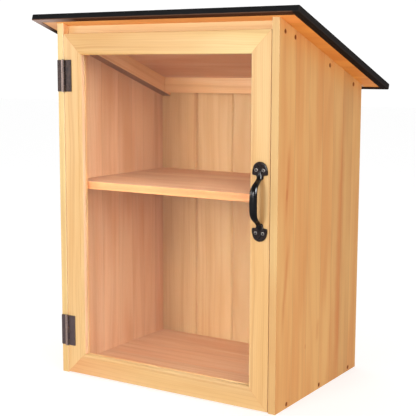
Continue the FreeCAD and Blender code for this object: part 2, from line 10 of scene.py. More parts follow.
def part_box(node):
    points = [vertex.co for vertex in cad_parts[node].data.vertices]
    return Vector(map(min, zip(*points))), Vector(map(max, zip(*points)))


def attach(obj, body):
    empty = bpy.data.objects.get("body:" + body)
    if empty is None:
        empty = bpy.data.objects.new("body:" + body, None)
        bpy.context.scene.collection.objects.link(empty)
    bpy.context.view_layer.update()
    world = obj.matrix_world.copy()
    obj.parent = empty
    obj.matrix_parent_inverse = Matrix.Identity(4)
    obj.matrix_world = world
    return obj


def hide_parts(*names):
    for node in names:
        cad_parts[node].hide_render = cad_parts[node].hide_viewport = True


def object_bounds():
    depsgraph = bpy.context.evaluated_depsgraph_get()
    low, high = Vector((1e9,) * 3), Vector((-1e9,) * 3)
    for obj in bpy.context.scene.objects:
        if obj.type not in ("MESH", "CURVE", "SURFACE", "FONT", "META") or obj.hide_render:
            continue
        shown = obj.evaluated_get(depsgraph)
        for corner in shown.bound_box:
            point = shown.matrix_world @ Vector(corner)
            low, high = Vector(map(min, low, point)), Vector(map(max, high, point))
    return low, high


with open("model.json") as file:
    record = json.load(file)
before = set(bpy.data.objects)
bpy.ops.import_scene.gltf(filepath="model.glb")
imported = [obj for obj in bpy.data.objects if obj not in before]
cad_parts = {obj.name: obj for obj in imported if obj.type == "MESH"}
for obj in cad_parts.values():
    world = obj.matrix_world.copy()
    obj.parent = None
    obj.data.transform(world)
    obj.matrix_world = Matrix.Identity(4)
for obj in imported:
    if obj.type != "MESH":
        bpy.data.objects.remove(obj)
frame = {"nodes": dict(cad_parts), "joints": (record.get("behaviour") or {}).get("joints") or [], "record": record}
cad_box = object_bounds()
nodes = frame["nodes"]

# Camera, solved from the straight edges in the photograph
CAMERA_PLACE = Vector((0.84952, -1.36325, 0.49532))
CAMERA_YAW = math.radians(32.1005)
CAMERA_AIM = Vector((-0.52637, 0.83908, -0.13741))
CAMERA_ROLL = math.radians(0.1815)
CAMERA_LENS = 85.31
CAMERA_SENSOR = 36.0

# Sizes of the cabinet that the looks follow, in metres
FRONT_HEIGHT, REAR_HEIGHT, BODY_DEPTH = 0.570, 0.475, 0.286
ROOF_SLOPE = math.atan2(FRONT_HEIGHT - REAR_HEIGHT, BODY_DEPTH)
HINGE_AXIS = frame["joints"][0]["pos_m"]
HINGE_BARREL = 0.0028
WHITE = (1.0, 1.0, 1.0, 1.0)
MILLIMETRES = 1000.0

# Studio: a pale room that is brighter behind and on the left, soft lamps, and panels that only show in
# gloss. Each lamp and panel is (place, size, power)
LIGHT_AIM = (0.0, 0.0, 0.3)
LAMPS = {
    "key": ((-0.36, -2.90, 0.85), 1.0, 37.0),
    "fill": ((2.40, -1.50, 1.10), 1.0, 8.0),
}
GLOSS_PANELS = {
    "left_panel": ((-1.90, -1.50, 0.75), 0.8, 18.0),
    "right_panel": ((1.75, -1.05, 1.45), 1.5, 130.0),
}
SKY_BRIGHT = 1.06
SKY_DIM = 0.50
SKY_DIM_SIDE = (0.55, -0.83, 0.0)
SKY_FADE_START = -0.45
SKY_FADE_END = 0.45
SKY_MIRRORED = 0.25
FLOOR_WHITE = 0.50
FLOOR_GLOW = 0.60
FLOOR_REACH = 12.0


def shade(red, green, blue):
    """Linear colour of an 8-bit screen colour."""
    def linear(value):
        value /= 255.0
        return value / 12.92 if value <= 0.04045 else ((value + 0.055) / 1.055) ** 2.4
    return (linear(red), linear(green), linear(blue), 1.0)


def put(tree, socket, value):
    """Link a socket to an input, or set the input to a plain value."""
    if isinstance(value, bpy.types.NodeSocket):
        tree.links.new(value, socket)
    else:
        socket.default_value = value


def add_math(tree, operation, *values):
    """One Math node on these values or sockets; returns its output."""
    node = tree.nodes.new("ShaderNodeMath")
    node.operation = operation
    for socket, value in zip(node.inputs, values):
        put(tree, socket, value)
    return node.outputs[0]


class Shader:
    """A material's node tree, built from short calls that return sockets."""

    def __init__(self, name):
        self.material = bpy.data.materials.new(name)
        self.material.use_nodes = True
        self.tree = self.material.node_tree
        self.surface = self.tree.nodes["Principled BSDF"]
        self.coordinates = self.tree.nodes.new("ShaderNodeTexCoord").outputs["Object"]

    def put(self, socket, value):
        put(self.tree, socket, value)

    def set(self, **values):
        """Set or link inputs of the surface, named with underscores for spaces."""
        for key, value in values.items():
            self.put(self.surface.inputs[key.replace("_", " ")], value)

    def math(self, operation, *values):
        return add_math(self.tree, operation, *values)

    def plus(self, first, second):
        return self.math("ADD", first, second)

    def minus(self, first, second):
        return self.math("SUBTRACT", first, second)

    def times(self, first, second):
        return self.math("MULTIPLY", first, second)

    def scaled(self, value, factor, offset):
        """The value times the factor, plus the offset."""
        return self.math("MULTIPLY_ADD", value, factor, offset)

    def size(self, value):
        """The value without its sign."""
        return self.math("ABSOLUTE", value)

    def centred(self, value):
        return self.minus(value, 0.5)

    def total(self, values):
        result = values[0]
        for value in values[1:]:
            result = self.plus(result, value)
        return result

    def split(self, vector):
        node = self.tree.nodes.new("ShaderNodeSeparateXYZ")
        self.put(node.inputs[0], vector)
        return node.outputs

    def join(self, x, y, z):
        node = self.tree.nodes.new("ShaderNodeCombineXYZ")
        for socket, value in zip(node.inputs, (x, y, z)):
            self.put(socket, value)
        return node.outputs[0]

    def turned(self, vector, rotation):
        node = self.tree.nodes.new("ShaderNodeMapping")
        self.put(node.inputs["Vector"], vector)
        node.inputs["Rotation"].default_value = rotation
        return node.outputs[0]

    def noise(self, vector, scale=1.0, detail=2.0, roughness=0.5):
        node = self.tree.nodes.new("ShaderNodeTexNoise")
        self.put(node.inputs["Vector"], vector)
        node.inputs["Scale"].default_value = scale
        node.inputs["Detail"].default_value = detail
        node.inputs["Roughness"].default_value = roughness
        return node.outputs[0]

    def cells(self, vector, scale=1.0):
        node = self.tree.nodes.new("ShaderNodeTexVoronoi")
        self.put(node.inputs["Vector"], vector)
        node.inputs["Scale"].default_value = scale
        return node.outputs["Distance"]

    def chance(self, value):
        """Three random numbers that belong to a value."""
        node = self.tree.nodes.new("ShaderNodeTexWhiteNoise")
        node.noise_dimensions = "1D"
        self.put(node.inputs["W"], value)
        return self.split(node.outputs["Color"])

    def ramp(self, value, stops):
        """A soft curve through the stops, which are (place, level)."""
        node = self.tree.nodes.new("ShaderNodeValToRGB")
        node.color_ramp.interpolation = "EASE"
        elements = node.color_ramp.elements
        for _ in range(len(stops) - 2):
            elements.new(0.5)
        for element, (place, level) in zip(elements, stops):
            element.position = place
            element.color = (level, level, level, 1.0)
        self.put(node.inputs["Fac"], value)
        return node.outputs["Color"]

    def between(self, value, first, last):
        """0 at first, 1 at last and beyond; last may be the smaller."""
        node = self.tree.nodes.new("ShaderNodeMapRange")
        self.put(node.inputs["Value"], value)
        node.inputs["From Min"].default_value = first
        node.inputs["From Max"].default_value = last
        return node.outputs[0]

    def blend(self, factor, first, second, mode="MIX"):
        """From the first colour to the second, or to their product in mode MULTIPLY."""
        node = self.tree.nodes.new("ShaderNodeMix")
        node.data_type = "RGBA"
        node.blend_type = mode
        node.clamp_factor = True
        self.put(node.inputs["Factor"], factor)
        self.put(node.inputs[6], first)
        self.put(node.inputs[7], second)
        return node.outputs[2]

    def bump(self, height, distance, strength):
        node = self.tree.nodes.new("ShaderNodeBump")
        node.inputs["Strength"].default_value = strength
        node.inputs["Distance"].default_value = distance
        self.put(node.inputs["Height"], height)
        return node.outputs[0]


# Wood: pine as it grows, with its pith outside the board, in metres and per metre
RINGS = 330.0
PITH_DEPTH, PITH_DEPTH_STEP, PITH_DEPTHS = 0.032, 0.011, 3
PITH_ASIDE, PITH_LEAN = 0.075, 0.03
RING_WOBBLE = 0.030
STAVE_WIDTH = 0.047
LUCK_STEP = 7.31
BAND_SHARE, LATE_SHARE, FLECK_SHARE, SEAM_SHARE = 0.55, 0.24, 0.5, 0.32
STREAK_WAVES, STREAK_BANDED, STREAK_PLAIN = 22.0, 0.8, 0.6

# Cells per metre of each texture, across and along the grain
WOBBLE_CELLS = (9.0, 2.2)
BAND_CELLS = (150.0, 1.5)
PATCH_CELLS = (26.0, 3.5)
FIBRE_CELLS = (1500.0, 28.0)
FLECK_CELLS = (420.0, 26.0)


class Pine(Shader):
    """Solid pine: growth rings about an axis outside the board, fine fibre, glued seams between staves."""

    def __init__(self, name, grain, face, seed, seams, slope):
        super().__init__(name)
        place = self.turned(self.coordinates, (slope, 0.0, 0.0)) if slope else self.coordinates
        self.axes = dict(zip("XYZ", self.split(place)))
        self.along, self.deep = self.axes[grain], self.axes[face]
        self.across = self.axes[({"X", "Y", "Z"} - {grain, face}).pop()]
        self.seams = seams
        self.stave = self.total([self.past(seam) for seam in seams]) if seams else 0.0
        number = self.plus(self.stave, seed * LUCK_STEP) if seams else seed * LUCK_STEP
        self.luck = self.chance(number)
        self.shift = self.times(self.luck[0], 3.0)
        self.radius = self.pith_distance(PITH_DEPTH + PITH_DEPTH_STEP * (seed % PITH_DEPTHS))

    def past(self, seam):
        return self.math("GREATER_THAN", self.across, seam)

    def drawn_out(self, fine, lengthwise):
        """Coordinates for a texture with so many cells per metre across and along the grain."""
        across, deep = self.times(self.across, fine), self.times(self.deep, fine)
        return self.join(across, self.times(self.along, lengthwise), deep)

    def drifting(self, fine, lengthwise):
        """The same for a slow texture that differs from stave to stave."""
        across, along = self.times(self.across, fine), self.times(self.along, lengthwise)
        return self.join(across, along, self.plus(self.deep, self.shift))

    def pith_distance(self, pith_depth):
        wobble = self.times(self.centred(self.noise(self.drifting(*WOBBLE_CELLS), 1.0, 3.0)), RING_WOBBLE)
        aside = self.times(self.centred(self.luck[1]), PITH_ASIDE)
        lean = self.times(self.along, self.times(self.centred(self.luck[2]), PITH_LEAN))
        middle = self.math("FLOORED_MODULO", self.across, STAVE_WIDTH) if self.seams else self.across
        across = self.total([middle, aside, wobble])
        deep = self.total([self.deep, pith_depth, lean])
        squares = self.plus(self.times(across, across), self.times(deep, deep))
        return self.math("SQRT", squares)

    def late_wood(self):
        ring = self.math("FRACT", self.times(self.radius, RINGS))
        return self.ramp(ring, [(0.0, 0.0), (0.55, 0.12), (0.88, 1.0), (1.0, 0.0)])

    def bands(self):
        """Years of darker and lighter growth."""
        out, along = (self.times(place, cells) for place, cells in zip((self.radius, self.along), BAND_CELLS))
        return self.noise(self.join(out, along, self.plus(self.shift, self.stave)), 1.0, 3.0, 0.6)

    def brightness(self, tones, fibre):
        tone = self.scaled(self.luck[0], 0.06, 0.965)
        if tones:
            steps = zip(self.seams, tones, tones[1:])
            rises = [self.times(self.past(seam), after - before) for seam, before, after in steps]
            tone = self.total([tones[0]] + rises)
        grey = self.times(tone, self.scaled(fibre, 0.10, 0.95))
        return self.join(grey, grey, grey)

    def streaked(self, colour, band, streaks):
        """streaks are (across, along, half width, half length, lean, depth)."""
        for centre, level, wide, tall, lean, depth in streaks:
            drift = self.centred(self.noise(self.join(0.0, 0.0, self.times(self.along, STREAK_WAVES))))
            wave = self.times(drift, wide)
            rise = self.minus(self.along, level)
            offset = self.total([self.across, -centre, self.times(rise, -lean), wave])
            off, far = self.size(offset), self.size(rise)
            beside = self.ramp(self.math("DIVIDE", off, wide), [(0.0, 1.0), (0.45, 0.55), (1.0, 0.0)])
            ending = self.ramp(self.math("DIVIDE", far, tall), [(0.3, 1.0), (1.0, 0.0)])
            mark = self.times(self.times(beside, ending), self.scaled(band, STREAK_BANDED, STREAK_PLAIN))
            colour = self.blend(self.times(mark, depth), colour, STREAK)
        return colour

    def mitred(self, colour):
        """The glue line at the door frame's corners."""
        from_middle = self.size(self.minus(self.axes["X"], DOOR_MIDDLE_X))
        from_side = self.minus(DOOR_HALF, from_middle)
        above, below = self.minus(self.axes["Z"], DOOR_LOW), self.minus(DOOR_HIGH, self.axes["Z"])
        off = self.size(self.minus(from_side, self.math("MINIMUM", above, below)))
        line = self.ramp(self.times(off, MILLIMETRES), [(0.2, 0.32), (0.6, 0.0)])
        return self.blend(line, colour, STREAK)

    def tinted(self, colour, tints):
        """tints are (axis, from, to, factor), then any further (axis, from, to) that they are kept within.
        Between the two places the colour goes over to its product with the factor."""
        for axis, first, last, factor, *within in tints:
            reach = self.between(self.axes[axis], first, last)
            for side, start, end in within:
                reach = self.times(reach, self.between(self.axes[side], start, end))
            colour = self.blend(reach, colour, self.blend(1.0, colour, (*factor, 1.0), "MULTIPLY"))
        return colour

    def seam_lines(self):
        gaps = [self.size(self.minus(self.across, seam)) for seam in self.seams]
        near = gaps[0]
        for gap in gaps[1:]:
            near = self.math("MINIMUM", near, gap)
        return self.ramp(self.times(near, MILLIMETRES), [(0.15, 1.0), (0.45, 0.0)])


def wood(name, grain, face, seed, colours, seams=(), slope=0.0, figure=1.0, tones=(), tints=(), streaks=(),
         mitred=False):
    """Pine with its grain along one axis and its face square to another.

    colours are light, warm and dark. figure is how strongly the growth shows, and tones has one brightness
    for each stave."""
    light, warm, dark = colours
    s = Pine(name, grain, face, seed, seams, slope)
    late, band = s.late_wood(), s.bands()
    patch = s.noise(s.drifting(*PATCH_CELLS), 1.0, 2.0, 0.55)
    fibre = s.noise(s.drawn_out(*FIBRE_CELLS), 1.0, 2.0, 0.6)
    fleck = s.ramp(s.cells(s.drawn_out(*FLECK_CELLS)), [(0.035, 0.35), (0.09, 0.0)])

    colour = s.blend(s.ramp(patch, [(0.36, 0.0), (0.66, 1.0)]), light, warm)
    dark_band = s.times(s.ramp(band, [(0.44, 0.0), (0.72, 1.0)]), BAND_SHARE * figure)
    colour = s.blend(dark_band, colour, dark)
    colour = s.blend(s.times(late, LATE_SHARE * figure), colour, dark)
    colour = s.blend(1.0, colour, s.brightness(tones, fibre), "MULTIPLY")
    colour = s.blend(s.times(fleck, FLECK_SHARE), colour, dark)
    colour = s.streaked(colour, band, streaks)
    if mitred:
        colour = s.mitred(colour)
    colour = s.tinted(colour, tints)
    height = s.scaled(late, 0.5, fibre)
    if seams:
        line = s.seam_lines()
        colour = s.blend(s.times(line, SEAM_SHARE), colour, SEAM)
        height = s.minus(height, s.times(line, 2.0))

    roughness = s.scaled(fibre, 0.14, 0.40)
    s.set(Base_Color=colour, Roughness=roughness, Normal=s.bump(height, 0.00006, 0.7))
    s.surface.inputs["Specular IOR Level"].default_value = 0.32
    return s.material


# Light, warm and dark colour of each kind of board
FRONT = shade(226, 186, 128), shade(220, 173, 111), shade(196, 139, 79)
SIDE = shade(241, 181, 107), shade(233, 162, 90), shade(203, 128, 66)
ROOF = shade(229, 161, 78), shade(219, 144, 65), shade(194, 115, 47)
BACK = shade(218, 180, 128), shade(210, 166, 112), shade(190, 134, 82)
STRIP = shade(246, 206, 154), shade(238, 188, 130), shade(214, 152, 98)
HEADER = shade(238, 200, 140), shade(234, 188, 126), shade(218, 164, 104)

STREAK = shade(206, 104, 34)
SEAM = shade(120, 66, 30)

# Where staves are glued to each other
SIDE_SEAMS = (-0.0925, -0.0460, 0.0, 0.0385, 0.0730, 0.1090)
SHELF_SEAMS = (-0.080, -0.031, 0.019, 0.068)
ROOF_SEAMS = (-0.12, -0.055, 0.02, 0.09)

# Places that the tints follow
HAIR = 0.0002
RIGHT_SIDE_LOW, RIGHT_SIDE_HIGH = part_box("right_side_panel")
INSIDE_X = RIGHT_SIDE_LOW[0] + HAIR
FRONT_Y = RIGHT_SIDE_LOW[1]
RIGHT_OUTSIDE = RIGHT_SIDE_HIGH[0]
LEFT_STILE_LOW, LEFT_STILE_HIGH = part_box("door_left_stile")
DOOR_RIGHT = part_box("door_right_stile")[1][0]
DOOR_INSIDE_X = LEFT_STILE_HIGH[0]
DOOR_LOW, DOOR_HIGH = LEFT_STILE_LOW[2], LEFT_STILE_HIGH[2]
DOOR_MIDDLE_X = (LEFT_STILE_LOW[0] + DOOR_RIGHT) / 2.0
DOOR_HALF = (DOOR_RIGHT - LEFT_STILE_LOW[0]) / 2.0
HEADER_LOW, HEADER_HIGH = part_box("header_rail")
HEADER_REAR = HEADER_HIGH[1] * math.cos(ROOF_SLOPE) - HEADER_HIGH[2] * math.sin(ROOF_SLOPE)
SHELF_FRONT_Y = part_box("shelf")[0][1]
HANDLE_LOW, HANDLE_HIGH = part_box("door_handle")
HANDLE_X = (HANDLE_LOW[0] + HANDLE_HIGH[0]) / 2.0
HANDLE_BACK = HANDLE_HIGH[1]
PLATE_LONG, PLATE_FADE = 0.015, 0.013

# Tints, as Pine.tinted takes them. Those that the comments below call painted light or shade stand in for how
# light falls on those faces; the others shift the wood's colour in places.
# Painted light: faces inside the box are made paler and bluer, standing in for the whiter light that reaches them.
PAINTED_INSIDE_LIGHT = (0.93, 1.10, 2.0)
PAINTED_ROOF_INSIDE_LIGHT = (0.86, 1.08, 2.9)
LEFT_INSIDE = ("X", -INSIDE_X - HAIR, -INSIDE_X, PAINTED_INSIDE_LIGHT)
# Painted light on the left panel: its inside face in front of the header is made much lighter, and its front edge
# paler and bluer.
LEFT_BEFORE_HEADER = (
    "Y", HEADER_LOW[1], HEADER_LOW[1] - HAIR, (1.55, 1.75, 1.6), ("X", -INSIDE_X - HAIR, -INSIDE_X))
LEFT_EDGE = ("Y", FRONT_Y + 2 * HAIR, FRONT_Y + HAIR, (0.90, 1.27, 1.72))
RIGHT_INSIDE = ("X", INSIDE_X + HAIR, INSIDE_X, PAINTED_INSIDE_LIGHT)
# Painted shade: the right panel's front edge is made darker and bluer.
RIGHT_EDGE = ("Y", FRONT_Y + 2 * HAIR, FRONT_Y + HAIR, (0.78, 0.94, 1.17))
FLOOR_TOP = ("Z", 0.0, HAIR, PAINTED_INSIDE_LIGHT)
SHELF_EDGE = ("Y", SHELF_FRONT_Y + 2 * HAIR, SHELF_FRONT_Y + HAIR, (0.88, 0.72, 0.80))
SHELF_BEHIND_EDGE = ("Y", SHELF_FRONT_Y + HAIR, SHELF_FRONT_Y + 2 * HAIR, PAINTED_INSIDE_LIGHT)
ROOF_BEHIND_HEADER = (
    "Y", HEADER_REAR, HEADER_REAR + HAIR, PAINTED_ROOF_INSIDE_LIGHT,
    ("X", -RIGHT_OUTSIDE, -RIGHT_OUTSIDE + HAIR), ("X", RIGHT_OUTSIDE, RIGHT_OUTSIDE - HAIR))
# Painted light on the roof's underside: paler and bluer at the front and over the left, warmer over the right.
ROOF_LEFT_OF_BOX = ("X", -RIGHT_OUTSIDE + HAIR, -RIGHT_OUTSIDE, (0.92, 1.12, 1.9))
ROOF_RIGHT_OF_BOX = ("X", RIGHT_OUTSIDE - HAIR, RIGHT_OUTSIDE, (1.06, 0.94, 0.80))
ROOF_FRONT = ("Y", HEADER_REAR + HAIR, HEADER_REAR, (1.10, 1.05, 1.30))
# Painted shade: the roof cleats' undersides are made dark brown.
CLEAT_UNDER_SHADE = (0.32, 0.21, 0.15)
# Painted light: the left stile's reveal is made paler.
STILE_REVEAL = ("X", DOOR_INSIDE_X - 2 * HAIR, DOOR_INSIDE_X - HAIR, (1.22, 1.15, 1.6))
RAIL_LEFT = ("X", 0.02, -0.15, (0.88, 0.80, 0.64))
RAIL_RIGHT = ("X", 0.02, 0.15, (1.07, 1.25, 1.32))
RAIL_FOOT_LEFT = ("X", -0.03, -0.17, (0.97, 0.78, 0.72), ("Z", 0.034, 0.026))
# Painted light: the bottom rail is made paler at its top edge.
RAIL_BEVEL = ("Z", 0.030, 0.033, (1.08, 1.13, 1.20))
# Painted shadow of the handle's bow on the right stile: warmer and darker just right of the handle, between its
# plates.
HANDLE_SHADOW = (
    "X", HANDLE_X - 0.002, HANDLE_X + 0.002, (0.98, 0.80, 0.62), ("X", HANDLE_X + 0.010, HANDLE_X + 0.004),
    ("Z", HANDLE_LOW[2] + PLATE_LONG, HANDLE_LOW[2] + PLATE_LONG + PLATE_FADE),
    ("Z", HANDLE_HIGH[2] - PLATE_LONG, HANDLE_HIGH[2] - PLATE_LONG - PLATE_FADE))

# The right side panel, which the photograph shows best
SIDE_TONES = (1.0, 0.99, 0.97, 0.955, 0.92, 0.86, 0.90)
SIDE_STREAKS = (
    (-0.113, 0.335, 0.0065, 0.070, 0.085, 0.52),
    (-0.115, 0.320, 0.0035, 0.012, 0.0, 0.60),
    (-0.1165, 0.185, 0.0075, 0.090, 0.129, 0.44),
    (0.069, 0.220, 0.0160, 0.330, 0.016, 0.36),
    (-0.006, 0.097, 0.0070, 0.022, 0.10, 0.32),
    (-0.048, 0.080, 0.0025, 0.005, 0.0, 0.50),
)


def lowest_across_slope(node):
    """Height of a node's underside, measured square to the roof."""
    points = [v.co for v in nodes[node].data.vertices]
    return min(p.y * math.sin(ROOF_SLOPE) + p.z * math.cos(ROOF_SLOPE) for p in points)


def dress_wood():
    cleat_foot = lowest_across_slope("left_roof_cleat")
    cleat = dict(slope=ROOF_SLOPE, tints=[("Z", cleat_foot + 2 * HAIR, cleat_foot + HAIR, CLEAT_UNDER_SHADE)])
    side = dict(seams=SIDE_SEAMS)
    flat = dict(seams=SHELF_SEAMS, figure=0.8)
    roof = dict(seams=ROOF_SEAMS, slope=ROOF_SLOPE, figure=0.8)
    frame_piece = dict(figure=0.9, mitred=True)
    panels = {
        "left_side_panel": (
            "Z", "X", 1, SIDE, dict(side, figure=0.7, tints=[LEFT_INSIDE, LEFT_EDGE, LEFT_BEFORE_HEADER])),
        "right_side_panel": (
            "Z", "X", 2, SIDE,
            dict(side, figure=0.5, tones=SIDE_TONES, tints=[RIGHT_INSIDE, RIGHT_EDGE], streaks=SIDE_STREAKS)),
        "floor_panel": ("X", "Z", 3, SIDE, dict(flat, tints=[FLOOR_TOP])),
        "shelf": ("X", "Z", 4, SIDE, dict(flat, tints=[SHELF_BEHIND_EDGE, SHELF_EDGE])),
        "roof_board": (
            "X", "Z", 5, ROOF,
            dict(roof, tints=[ROOF_BEHIND_HEADER, ROOF_FRONT, ROOF_LEFT_OF_BOX, ROOF_RIGHT_OF_BOX])),
        "rear_rail": ("X", "Y", 10, STRIP, {}),
        "header_rail": ("X", "Y", 11, HEADER, dict(figure=0.6)),
        "left_roof_cleat": ("Y", "X", 12, STRIP, cleat),
        "right_roof_cleat": ("Y", "X", 13, STRIP, cleat),
        "bottom_glazing_bead": ("X", "Y", 14, STRIP, {}),
        "top_glazing_bead": ("X", "Y", 15, STRIP, {}),
        "left_glazing_bead": ("Z", "Y", 16, STRIP, {}),
        "right_glazing_bead": ("Z", "Y", 17, STRIP, {}),
        "door_bottom_rail": ("X", "Y", 20, FRONT, dict(frame_piece, tints=[RAIL_FOOT_LEFT, RAIL_BEVEL])),
        "door_top_rail": ("X", "Y", 21, FRONT, dict(frame_piece, tints=[RAIL_LEFT, RAIL_RIGHT])),
        "door_left_stile": ("Z", "Y", 22, FRONT, dict(frame_piece, tints=[STILE_REVEAL])),
        "door_right_stile": ("Z", "Y", 23, FRONT, dict(frame_piece, tints=[HANDLE_SHADOW])),
    }
    for index in range(1, 6):
        panels["back_board_%d" % index] = ("Z", "Y", 30 + index, BACK, {})
    for node, (grain, face, seed, colours, more) in panels.items():
        coat(node, wood(node + "_pine", grain, face, seed, colours, **more))


def coat(node, material):
    """Give a CAD node one material."""
    mesh = nodes[node].data
    mesh.materials.clear()
    mesh.materials.append(material)


# Felt: how far the painted highlight on its lower fold reaches up from its foot, where its turned-in strip lies,
# and where the painted light and shade on that strip change
FELT_THICK = 0.0009
FELT_FOLD = 0.0016
FELT_RETURN = 0.0119
FELT_HIGHLIGHT_TOP, FELT_HIGHLIGHT_FULL = 0.0017, 0.0007
FELT_UNDER_TOP, FELT_UNDER_FULL = 0.0003, 0.0001
FELT_WANDER = 0.0008
FELT_LEFT_START, FELT_LEFT_FULL = -0.150, -0.205
FELT_BACK_START, FELT_BACK_FULL = -0.325, -0.285


def felt(foot, end):
    """Mineral felt, with a painted highlight along its lower fold and painted light and shade on its turned-in
    strip underneath.

    foot is its lowest height, measured square to the roof, and end its reach to the right."""
    s = Shader("roofing_felt")
    grit = s.noise(s.coordinates, 900.0, 3.0, 0.6)
    patch = s.noise(s.coordinates, 16.0, 3.0, 0.55)
    weave = s.cells(s.coordinates, 700.0)
    colour = s.blend(s.ramp(patch, [(0.35, 0.0), (0.7, 1.0)]), shade(7, 7, 9), shade(17, 17, 20))
    colour = s.blend(s.ramp(grit, [(0.62, 0.0), (0.74, 0.5)]), colour, shade(44, 45, 50))

    x, back, height = s.split(s.turned(s.coordinates, (ROOF_SLOPE, 0.0, 0.0)))
    verge = s.between(x, end - FELT_RETURN, end - FELT_RETURN + 0.003)
    # Painted light: the felt's right end face is made browner and paler than its front.
    colour = s.blend(s.between(x, end - 0.0010, end - 0.0002), colour, shade(33, 25, 21))
    wander = s.scaled(s.noise(s.coordinates, 55.0, 3.0, 0.6), FELT_WANDER, -FELT_WANDER / 2.0)
    # Painted highlight along the lower fold, left out at the right verge.
    fold = s.between(s.plus(height, wander), foot + FELT_HIGHLIGHT_TOP, foot + FELT_HIGHLIGHT_FULL)
    painted_highlight = s.times(fold, s.scaled(verge, -0.85, 1.0))
    colour = s.blend(painted_highlight, colour, shade(92, 62, 44))
    # Painted light and shade on the turned-in strip: warm brown, paler towards the left end, darker towards the
    # back and at the right verge.
    strip_light_and_shade = s.blend(s.between(x, FELT_LEFT_START, FELT_LEFT_FULL), shade(70, 34, 12), shade(164, 142, 134))
    strip_light_and_shade = s.blend(s.between(back, FELT_BACK_START, FELT_BACK_FULL), strip_light_and_shade, shade(46, 28, 16))
    strip_light_and_shade = s.blend(verge, strip_light_and_shade, shade(29, 20, 14))
    colour = s.blend(s.between(height, foot + FELT_UNDER_TOP, foot + FELT_UNDER_FULL), colour, strip_light_and_shade)

    s.set(Base_Color=colour, Roughness=s.scaled(patch, 0.15, 0.72),
          Normal=s.bump(s.plus(grit, weave), 0.0003, 0.6))
    s.surface.inputs["Specular IOR Level"].default_value = 0.12
    return s.material


# Other materials
ACRYLIC_IOR = 1.49
# How far right of the hinge axis the painted highlight on the barrels fades out
HINGE_HIGHLIGHT_START = 0.0030
# Painted light: below these heights the lower hinge is made paler, by this share.
LOWER_HINGE_START, LOWER_HINGE_FULL, LOWER_HINGE_SHARE = 0.30, 0.20, 0.6
PLATE_FRONT = HANDLE_BACK - 0.0028
BOW_BACK = HANDLE_BACK - 0.0042


def clear_sheet():
    """Clear acrylic that lets light through to the inside."""
    s = Shader("clear_sheet")
    smear = s.noise(s.coordinates, 22.0, 3.0, 0.6)
    s.set(Base_Color=(0.985, 0.995, 0.99, 1.0), Roughness=s.scaled(smear, 0.03, 0.0))
    s.surface.inputs["Transmission Weight"].default_value = 1.0
    s.surface.inputs["IOR"].default_value = ACRYLIC_IOR
    s.surface.inputs["Specular Tint"].default_value = (0.6, 0.6, 0.6, 1.0)
    tree = s.tree
    open_way = tree.nodes.new("ShaderNodeBsdfTransparent")
    open_way.inputs["Color"].default_value = (0.97, 0.98, 0.975, 1.0)
    rays = tree.nodes.new("ShaderNodeLightPath")
    mix = tree.nodes.new("ShaderNodeMixShader")
    tree.links.new(rays.outputs["Is Shadow Ray"], mix.inputs[0])
    tree.links.new(s.surface.outputs[0], mix.inputs[1])
    tree.links.new(open_way.outputs[0], mix.inputs[2])
    tree.links.new(mix.outputs[0], tree.nodes["Material Output"].inputs["Surface"])
    return s.material


def bronzed_steel():
    """Dark bronze over steel, with a painted highlight down the left of the hinges' barrels, and painted light
    that makes the lower hinge paler.
    """
    s = Shader("bronzed_steel")
    cloud = s.noise(s.coordinates, 160.0, 4.0, 0.6)
    fine = s.noise(s.coordinates, 1500.0, 2.0, 0.5)
    x, y, z = s.split(s.coordinates)
    aside, forward = s.minus(x, HINGE_AXIS[0]), s.minus(y, HINGE_AXIS[1])
    off = s.math("SQRT", s.plus(s.times(aside, aside), s.times(forward, forward)))
    # Painted highlight down the left of each barrel: paler, less metallic and glossier there.
    barrel_highlight = s.times(s.math("LESS_THAN", off, HINGE_BARREL), s.between(aside, HINGE_HIGHLIGHT_START, 0.0))
    painted_highlight = s.times(barrel_highlight, s.ramp(fine, [(0.3, 0.7), (0.5, 1.0)]))
    colour = s.blend(s.ramp(cloud, [(0.35, 0.0), (0.68, 1.0)]), shade(42, 31, 29), shade(70, 53, 48))
    # Painted light: the lower hinge is made paler.
    paler = s.times(s.between(z, LOWER_HINGE_START, LOWER_HINGE_FULL), LOWER_HINGE_SHARE)
    colour = s.blend(paler, colour, shade(112, 94, 96))
    s.set(Base_Color=s.blend(painted_highlight, colour, shade(158, 134, 124)),
          Roughness=s.scaled(painted_highlight, -0.12, s.scaled(cloud, 0.2, 0.34)),
          Metallic=s.scaled(painted_highlight, -0.35, 0.55), Normal=s.bump(fine, 0.00005, 0.5))
    return s.material


def black_iron():
    """Cast iron, glossy on the bow and browner on the plates."""
    s = Shader("black_iron")
    cast = s.noise(s.coordinates, 420.0, 3.0, 0.55)
    cloud = s.noise(s.coordinates, 60.0, 2.0, 0.5)
    colour = s.blend(cloud, shade(3, 3, 3), shade(9, 8, 9))
    plate = s.between(s.split(s.coordinates)[1], BOW_BACK, PLATE_FRONT)
    brown = s.blend(s.ramp(cast, [(0.40, 0.0), (0.60, 1.0)]), shade(18, 11, 10), shade(44, 31, 28))
    s.set(Base_Color=s.blend(plate, colour, brown), Roughness=s.scaled(cloud, 0.08, 0.17),
          Normal=s.bump(cast, 0.0002, 0.25))
    s.surface.inputs["Specular IOR Level"].default_value = 0.4
    return s.material


def metal(name, low, high, roughness, metallic=1.0):
    """Scuffed metal, or a dull coating where metallic is 0."""
    s = Shader(name)
    scuff = s.noise(s.coordinates, 800.0, 3.0, 0.6)
    cloud = s.noise(s.coordinates, 120.0, 3.0, 0.55)
    colour = s.blend(s.ramp(cloud, [(0.35, 0.0), (0.7, 1.0)]), low, high)
    s.set(Base_Color=colour, Roughness=s.scaled(scuff, 0.2, roughness), Metallic=metallic,
          Normal=s.bump(scuff, 0.00004, 0.5))
    if not metallic:
        s.surface.inputs["Specular IOR Level"].default_value = 0.15
    return s.material


